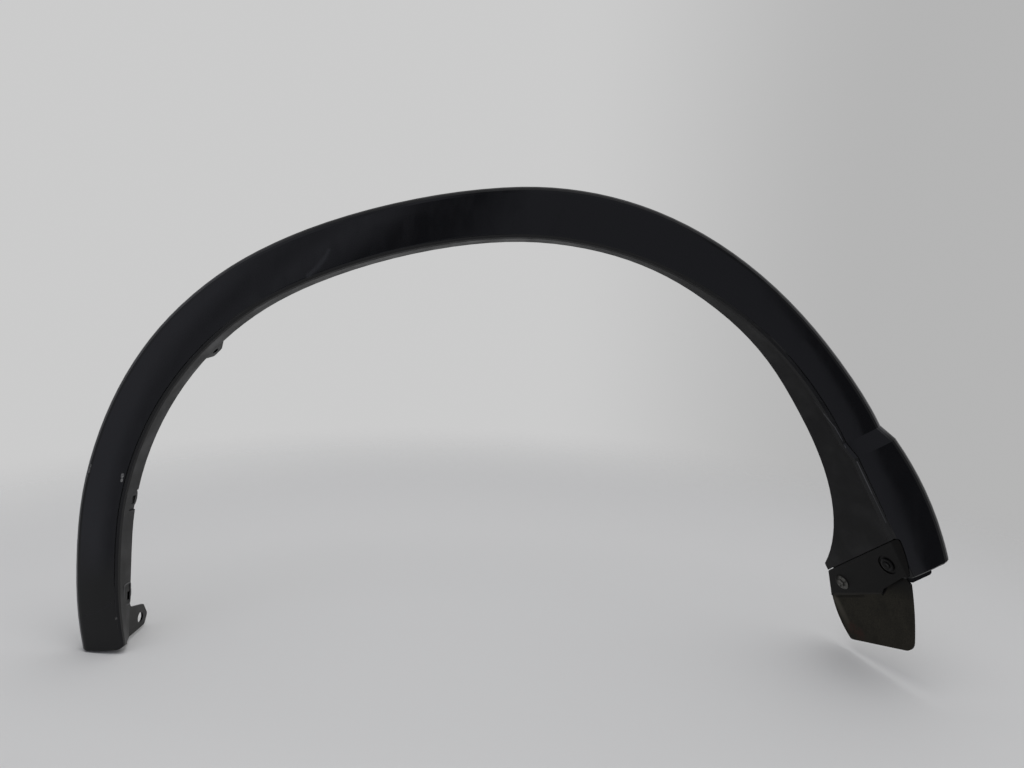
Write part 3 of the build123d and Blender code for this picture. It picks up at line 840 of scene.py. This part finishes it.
@dataclass
class Studio:
    """Pale floor that the leaning part stands on, and a white box open to a dim room."""

    floor_normal: Point = (0.0, -0.134, 0.990982)
    floor_level: float = -0.0167
    floor_centre: tuple[float, float] = (0.45, -0.1)
    floor_clear: float = 0.75
    floor_reach: float = 1.35
    floor_rings: int = 24
    floor_spokes: int = 96
    floor_colour: Colour = (0.72, 0.72, 0.72)
    floor_roughness: float = 0.8

    # Light by direction: the box across the part, the backdrop, and the room in front.
    box: Band = Band(-0.9, 0.9, 0.3, 0.6)
    backdrop: Band = Band(0.02, 0.4, 0.6, 0.46)
    front: Band = Band(-0.8, -0.35, 1.0, 0.0)
    low_room: Band = Band(-0.38, -0.08, 1.3, 1.0)
    room_tint: Colour = (1.0, 1.02, 1.16)
    room_span: float = 0.6
    room_stops: tuple[tuple[float, float], ...] = (
        (-0.47, 0.62),
        (-0.4, 0.46),
        (-0.35, 0.33),
        (-0.3, 0.38),
        (-0.255, 0.56),
        (-0.205, 0.4),
        (-0.16, 0.09),
        (-0.075, 0.09),
        (-0.03, 0.37),
        (0.395, 0.34),
        (0.445, 0.09),
    )
    lamp_place: Point = (0.3, -0.5, 2.2)
    lamp_size: float = 2.2
    lamp_power: float = 22.0

    def build(self) -> None:
        """Make the floor, the surroundings and the lamp."""
        self.build_floor()
        self.build_world()
        self.build_lamp()

    def build_floor(self) -> bpy.types.Object:
        """Make the floor as a round grid of rings that fades out at its rim.

        Its height is z = (level - ny * y) / nz.

        Returns:
            The floor object.
        """
        rings, spokes = self.floor_rings, self.floor_spokes
        radius = np.linspace(0.0, self.floor_reach, rings + 1)[1:, None]
        angle = round_angles(spokes)[None, :]
        x = self.floor_centre[0] + radius * np.cos(angle)
        y = self.floor_centre[1] + radius * np.sin(angle)
        x = np.concatenate([[self.floor_centre[0]], x.ravel()])
        y = np.concatenate([[self.floor_centre[1]], y.ravel()])
        z = (self.floor_level - self.floor_normal[1] * y) / self.floor_normal[2]
        here = np.arange(spokes)
        beside = (here + 1) % spokes
        fan = np.column_stack([np.zeros(spokes, int), 1 + here, 1 + beside]).tolist()
        inner = 1 + spokes * np.arange(rings - 1)[:, None]
        outer = inner + spokes
        quads = np.stack([inner + here, outer + here, outer + beside, inner + beside], axis=-1)
        faces = fan + quads.reshape(-1, 4).tolist()
        mesh = bpy.data.meshes.new("floor")
        mesh.from_pydata(np.column_stack([x, y, z]).tolist(), [], faces)
        floor = bpy.data.objects.new("floor", mesh)
        bpy.context.scene.collection.objects.link(floor)
        mesh.materials.append(self.floor_material())
        return floor

    def floor_material(self) -> bpy.types.Material:
        """Make the floor's finish, which turns clear towards the rim.

        Returns:
            The finished material.
        """
        material, board, shader = new_material("floor_pale")
        board.feed(shader.inputs["Base Color"], (*self.floor_colour, 1.0))
        board.feed(shader.inputs["Roughness"], self.floor_roughness)
        centre = (*self.floor_centre, 0.0)
        away = board.join(Join.DISTANCE, board.object_place(), centre)
        fade = board.ease(away, Band(self.floor_clear, self.floor_reach, 1.0, 0.0))
        board.feed(shader.inputs["Alpha"], fade)
        return material

    def build_world(self) -> bpy.types.World:
        """Make the surroundings: white walls all round, and a dim room in front.

        Returns:
            The world.
        """
        world = bpy.data.worlds.new("studio")
        world.use_nodes = True
        board = NodeBoard(world.node_tree)
        way = board.split(board.add("ShaderNodeTexCoord").outputs["Generated"])
        walls = board.grey(board.ease(way["X"], self.box))
        room = board.scale(self.room_colour(board, way["X"]), board.ease(way["Z"], self.low_room))
        light = board.blend(board.ease(way["Y"], self.front), walls, room)
        backdrop = board.grey(board.ease(way["X"], self.backdrop))
        seen = board.add("ShaderNodeLightPath").outputs["Is Camera Ray"]
        background = board.add("ShaderNodeBackground")
        board.feed(background.inputs["Color"], board.blend(seen, light, backdrop))
        output = board.add("ShaderNodeOutputWorld")
        board.feed(output.inputs["Surface"], background.outputs[0])
        bpy.context.scene.world = world
        return world

    def room_colour(self, board: NodeBoard, side: Socket) -> Socket:
        """Colour of the room from side to side.

        Args:
            board: The world's board.
            side: Sideways part of the direction.

        Returns:
            The colour's socket.
        """
        across = board.add("ShaderNodeMapRange")
        for index, value in enumerate((side, -self.room_span, self.room_span, 0.0, 1.0)):
            board.feed(across.inputs[index], value)
        ramp = board.add("ShaderNodeValToRGB")
        ramp.color_ramp.interpolation = "EASE"
        stops = ramp.color_ramp.elements
        while len(stops) < len(self.room_stops):
            stops.new(0.5)
        for stop, (place, light) in zip(stops, self.room_stops):
            stop.position = 0.5 + place / (2.0 * self.room_span)
            stop.color = (*(light * tint for tint in self.room_tint), 1.0)
        board.feed(ramp.inputs[0], across.outputs[0])
        return ramp.outputs[0]

    def build_lamp(self) -> bpy.types.Object:
        """Make the soft lamp overhead.

        Returns:
            The lamp object.
        """
        data = bpy.data.lights.new("overhead", "AREA")
        data.shape = "DISK"
        data.size = self.lamp_size
        data.energy = self.lamp_power
        lamp = bpy.data.objects.new("overhead", data)
        lamp.visible_glossy = False
        lamp.location = self.lamp_place
        bpy.context.scene.collection.objects.link(lamp)
        return lamp


@dataclass(frozen=True)
class Spot:
    """Place of a small piece: its centre and two directions on the surface, in metres."""

    centre: Point
    first: Point
    second: Point

    def points(self, first: np.ndarray, second: np.ndarray, rise: np.ndarray) -> np.ndarray:
        """Turn distances into points.

        A point is centre + first * a + second * b + (first x second) * rise.

        Args:
            first: Distances along the first direction.
            second: Distances along the second direction.
            rise: Heights off the surface.

        Returns:
            The points, three numbers in the last axis.
        """
        axes = np.stack([self.first, self.second, np.cross(self.first, self.second)])
        parts = np.stack(np.broadcast_arrays(first, second, rise), axis=-1)
        return np.asarray(self.centre) + parts @ axes

    def turned(self, angle: np.ndarray, radius: np.ndarray, rise: np.ndarray) -> np.ndarray:
        """Turn a shape about the spot's axis, with radius * cos and radius * sin across it.

        Args:
            angle: Angles round the axis.
            radius: Radii in millimetres.
            rise: Heights in millimetres.

        Returns:
            The points, three numbers in the last axis.
        """
        radius = radius * MM
        return self.points(radius * np.cos(angle), radius * np.sin(angle), rise * MM)


def round_angles(count: int) -> np.ndarray:
    """Even angles round a full turn.

    Args:
        count: How many.

    Returns:
        The angles, from 0 on.
    """
    return np.linspace(0.0, FULL_TURN, count, endpoint=False)


def ring_piece(name: str, points: np.ndarray, loop: bool = False) -> bpy.types.Object:
    """Make a closed piece from rings of points, each joined to the next by quads.

    Args:
        name: Name of the piece.
        points: Rings by spokes by three.
        loop: Whether the last ring joins the first; otherwise both ends get a flat cap.

    Returns:
        The new object.
    """
    rings, spokes = points.shape[:2]
    here = np.arange(rings * spokes).reshape(rings, spokes)
    beside = np.roll(here, -1, axis=1)
    above, above_beside = np.roll(here, -1, axis=0), np.roll(beside, -1, axis=0)
    quads = np.stack([here, beside, above_beside, above], axis=-1)
    faces = (quads if loop else quads[:-1]).reshape(-1, 4).tolist()
    if not loop:
        faces += [here[0, ::-1].tolist(), here[-1].tolist()]
    mesh = bpy.data.meshes.new(name)
    mesh.from_pydata(points.reshape(-1, 3).tolist(), [], faces)
    mesh.shade_smooth()
    mesh.set_sharp_from_angle(angle=SHARP_ANGLE)
    piece = bpy.data.objects.new(name, mesh)
    bpy.context.scene.collection.objects.link(piece)
    return piece


@dataclass
class FlangedScrew:
    """The flanged hexagon screw with its thread, in millimetres along its axis.

    A row of the head is a radius, a rise, and how much of a hexagon it is.
    """

    spot: Spot = Spot(SCREW_CENTRE, PANEL_DOWN, PANEL_OUT)
    spokes: int = 60
    shank_rings: int = 110
    length: float = 16.0
    neck: float = 0.05
    crest_radius: float = 2.85
    root_radius: float = 2.35
    pitch: float = 1.6
    flank_slope: float = 1.6
    flank_shift: float = 0.4
    point_radius: float = 0.6
    point_slope: float = 0.9
    head: tuple[tuple[float, float, float], ...] = (
        (2.85, 0.0, 0.0),
        (9.5, 0.0, 0.0),
        (9.75, 0.25, 0.0),
        (9.75, 0.75, 0.0),
        (9.45, 1.1, 0.0),
        (7.2, 1.5, 0.0),
        (6.3, 1.75, 0.0),
        (5.9, 1.95, 1.0),
        (5.0, 2.1, 1.0),
        (5.0, 3.2, 1.0),
        (4.9, 3.75, 0.6),
        (4.5, 3.95, 0.0),
        (3.4, 3.95, 0.0),
        (3.1, 3.6, 0.0),
        (0.3, 3.5, 0.0),
    )
    hex_turn: float = 0.35
    finish: ScrewFinish = field(default_factory=ScrewFinish)

    def build(self) -> bpy.types.Object:
        """Turn the screw.

        Its shank is a cone point and a ridge that climbs one pitch a turn. Its head blends a
        circle of radius r into a hexagon, r / cos(angle to the nearest flat).

        Returns:
            The screw.
        """
        angle = round_angles(self.spokes)[None, :]
        depth = np.linspace(-self.length, -self.neck, self.shank_rings)[:, None]
        ridge = np.abs((depth / self.pitch - angle / FULL_TURN) % 1.0 - 0.5) * 2.0
        ridge = np.clip(self.flank_slope * ridge - self.flank_shift, 0.0, 1.0)
        shank = self.root_radius + (self.crest_radius - self.root_radius) * ridge
        point = self.point_radius + self.point_slope * (depth + self.length)
        radius, rise, hexed = np.array(self.head).T[:, :, None]
        toward = (angle + self.hex_turn) % HEX_STEP - HEX_STEP / 2.0
        head = radius * (1.0 - hexed + hexed / np.cos(toward))
        radius = np.concatenate([np.minimum(shank, point), head])
        rise = np.concatenate([depth, rise])
        screw = ring_piece("screw_turned", self.spot.turned(angle, radius, rise))
        set_material(screw, self.finish.build())
        return screw


@dataclass
class PushRivet:
    """The nylon push rivet: split shank, rounded head and the pin pushed into it, in millimetres.

    A row of the head is a radius and a rise.
    """

    spot: Spot = Spot(RIVET_CENTRE, PANEL_DOWN, PANEL_OUT)
    spokes: int = 72
    shank_rings: int = 60
    sink: float = 1.4
    length: float = 15.0
    neck: float = 0.05
    shank_radius: float = 3.55
    split: float = 0.9
    split_power: int = 12
    split_growth: float = 3.0
    split_start: float = 0.6
    tip_loss: float = 1.3
    tip_length: float = 4.0
    notch: float = 0.7
    notch_radius: float = 5.4
    notch_floor: float = 1.5
    notch_power: int = 20
    head: tuple[tuple[float, float], ...] = (
        (3.6, 0.0),
        (8.2, 0.0),
        (8.45, 0.3),
        (8.45, 1.2),
        (8.2, 1.75),
        (7.5, 2.1),
        (6.2, 2.2),
        (4.9, 2.15),
        (4.6, 1.9),
        (4.5, 1.0),
        (4.25, 1.0),
        (4.2, 2.5),
        (3.9, 2.8),
        (2.7, 2.9),
        (2.3, 2.6),
        (0.3, 2.5),
    )
    finish: RivetFinish = field(default_factory=RivetFinish)

    def build(self) -> bpy.types.Object:
        """Turn the rivet.

        Its shank loses split * cos(2 * angle) ** split_power where its four legs part, and
        narrows to a blunt tip. Two notches sink the head beside the pin, where
        cos(angle) ** notch_power is high.

        Returns:
            The rivet.
        """
        angle = round_angles(self.spokes)[None, :]
        depth = np.linspace(-self.length, -self.neck, self.shank_rings)[:, None]
        growth = np.clip(-depth / self.length * self.split_growth - self.split_start, 0.0, 1.0)
        legs = self.split * np.cos(2.0 * angle) ** self.split_power * growth
        taper = np.clip(1.0 + (-depth - self.length) / self.tip_length, 0.0, 1.0)
        shank = self.shank_radius - legs - self.tip_loss * taper**2
        radius, rise = np.array(self.head).T[:, :, None]
        beside = np.clip(1.0 - np.abs(radius - self.notch_radius), 0.0, 1.0)
        beside = beside * (rise > self.notch_floor)
        rise = rise - self.notch * beside * np.cos(angle) ** self.notch_power
        radius = np.concatenate([shank, np.broadcast_to(radius, rise.shape)])
        rise = np.concatenate([np.broadcast_to(depth, shank.shape), rise]) - self.sink
        rivet = ring_piece("rivet_moulded", self.spot.turned(angle, radius, rise))
        set_material(rivet, self.finish.build())
        return rivet


@dataclass
class SeatClips:
    """Spring clips behind the two slots of the leg, and the moulded rim round the lower seat."""

    lower: Spot = Spot((0.0004, -0.0285, 0.0375), (0.0, 1.0, 0.0), (0.0, 0.0, 1.0))
    upper: Spot = Spot((0.0034, -0.0285, 0.152253), (0.0, 1.0, 0.0), (0.14319, 0.0, 0.989695))
    half_width: float = 0.0075
    half_length: float = 0.0085
    sink: float = 0.0045
    bow: float = 0.0011
    leaf_thickness: float = 0.0008
    leaf_rings: int = 25
    rim_centre: Point = (0.0004, -0.0368, 0.0398)
    rim_half: tuple[float, float] = (0.0078, 0.0129)
    rim_radius: float = 0.0008
    rim_power: float = 6.0
    rim_rings: int = 120
    rim_spokes: int = 12
    clip: ClipFinish = ClipFinish()
    # The rim's pale colours are dust and a painted highlight on its edge.
    rim: ClipFinish = ClipFinish("seat_rim_dust_and_highlight", (0.058, 0.058, 0.061), (0.13, 0.128, 0.124))

    def build(self) -> list[bpy.types.Object]:
        """Make both clips and the rim.

        Returns:
            The new pieces.
        """
        finish = self.clip.build()
        leaves = [
            self.build_leaf("clip_lower", self.lower),
            self.build_leaf("clip_upper", self.upper),
        ]
        for leaf in leaves:
            set_material(leaf, finish)
        rim = self.build_rim()
        set_material(rim, self.rim.build())
        return [*leaves, rim]

    def build_leaf(self, name: str, spot: Spot) -> bpy.types.Object:
        """Make a bowed leaf, as square rings along its length b.

        Its rise is bow * (1 - (b / half_length) ** 2) - sink.

        Args:
            name: Name of the piece.
            spot: Place of the slot.

        Returns:
            The leaf.
        """
        along = np.linspace(-1.0, 1.0, self.leaf_rings)[:, None] * self.half_length
        side = np.array([-1.0, 1.0, 1.0, -1.0])[None, :] * self.half_width
        layer = np.array([0.0, 0.0, 1.0, 1.0])[None, :] * self.leaf_thickness
        rise = self.bow * (1.0 - (along / self.half_length) ** 2) - self.sink + layer
        return ring_piece(name, spot.points(side, along, rise)[::-1])

    def build_rim(self) -> bpy.types.Object:
        """Make the rim as a round bead along a squared oval, |a / A| ** n + |b / B| ** n = 1.

        Returns:
            The rim.
        """
        turn = round_angles(self.rim_rings)[:, None]
        oval = np.concatenate([np.cos(turn), np.sin(turn)], axis=1)
        oval = self.rim_half * np.sign(oval) * np.abs(oval) ** (2.0 / self.rim_power)
        way = np.roll(oval, -1, axis=0) - np.roll(oval, 1, axis=0)
        way /= np.linalg.norm(way, axis=1, keepdims=True)
        girth = round_angles(self.rim_spokes)[None, :]
        reach, rise = self.rim_radius * np.cos(girth), self.rim_radius * np.sin(girth)
        spot = Spot(self.rim_centre, self.lower.first, self.lower.second)
        first = oval[:, :1] + way[:, 1:] * reach
        second = oval[:, 1:] - way[:, :1] * reach
        return ring_piece("seat_rim", spot.points(first, second, rise)[::-1], loop=True)


@dataclass
class ArchTrim:
    """The moulding, dressed in its two-tone black."""

    node: str = "arch_trim"
    finish: TrimFinish = field(default_factory=TrimFinish)
    clips: SeatClips = field(default_factory=SeatClips)

    def dress(self, nodes: dict[str, bpy.types.Object]) -> None:
        """Give the moulding its finish and its clips.

        Args:
            nodes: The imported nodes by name.
        """
        set_material(nodes[self.node], self.finish.build())
        for piece in self.clips.build():
            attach(piece, "root")


@dataclass
class FlapSet:
    """The mud flap with its screw and push rivet."""

    flap: FlapFinish = field(default_factory=FlapFinish)
    screw: FlangedScrew = field(default_factory=FlangedScrew)
    rivet: PushRivet = field(default_factory=PushRivet)

    def dress(self, nodes: dict[str, bpy.types.Object]) -> None:
        """Give the flap and its fasteners their finishes.

        Args:
            nodes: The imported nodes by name.
        """
        set_material(nodes["mud_flap"], self.flap.build())
        for piece, node, slot in (
            (self.screw.build(), "flap_screw", "screw_steel"),
            (self.rivet.build(), "flap_rivet", "rivet_black"),
        ):
            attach(piece, "root")
            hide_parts(node)


def set_material(piece: bpy.types.Object, material: bpy.types.Material) -> None:
    """Put one material on a piece.

    Args:
        piece: The object.
        material: Its new finish.
    """
    piece.data.materials.clear()
    piece.data.materials.append(material)
    LOG.info("%s wears %s", piece.name, material.name)


def main() -> None:
    """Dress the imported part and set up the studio."""
    logging.basicConfig(level=logging.INFO)
    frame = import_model()
    ArchTrim().dress(frame["nodes"])
    FlapSet().dress(frame["nodes"])
    Studio().build()
    StudioCamera().build()
    bpy.context.scene.view_settings.view_transform = "Standard"


if __name__ == "__main__":
    main()
